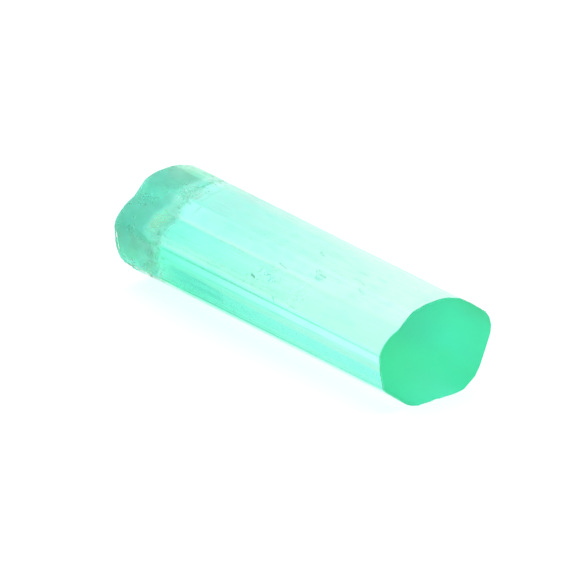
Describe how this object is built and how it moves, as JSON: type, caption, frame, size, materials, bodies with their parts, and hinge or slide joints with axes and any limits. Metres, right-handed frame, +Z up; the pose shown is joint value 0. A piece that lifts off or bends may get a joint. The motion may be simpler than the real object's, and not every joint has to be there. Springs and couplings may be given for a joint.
{
  "type": "emerald crystal",
  "caption": "Slender transparent green prism crystal lying on its side, with a flat basal end, a growth groove along one side and a rough broken end.",
  "frame": {"origin": "centre of the bounding box's bottom, on the plane the crystal lies on", "axes": "+X along the crystal's long axis towards its flat basal end, +Z up from the resting facet"},
  "size_m": [0.0274, 0.0094, 0.007],
  "materials": {
    "beryl": "clear green crystal, glossy on its growth faces, frosted on the break"
  },
  "bodies": {
    "root": {"emerald_crystal": "beryl"}
  },
  "joints": []
}
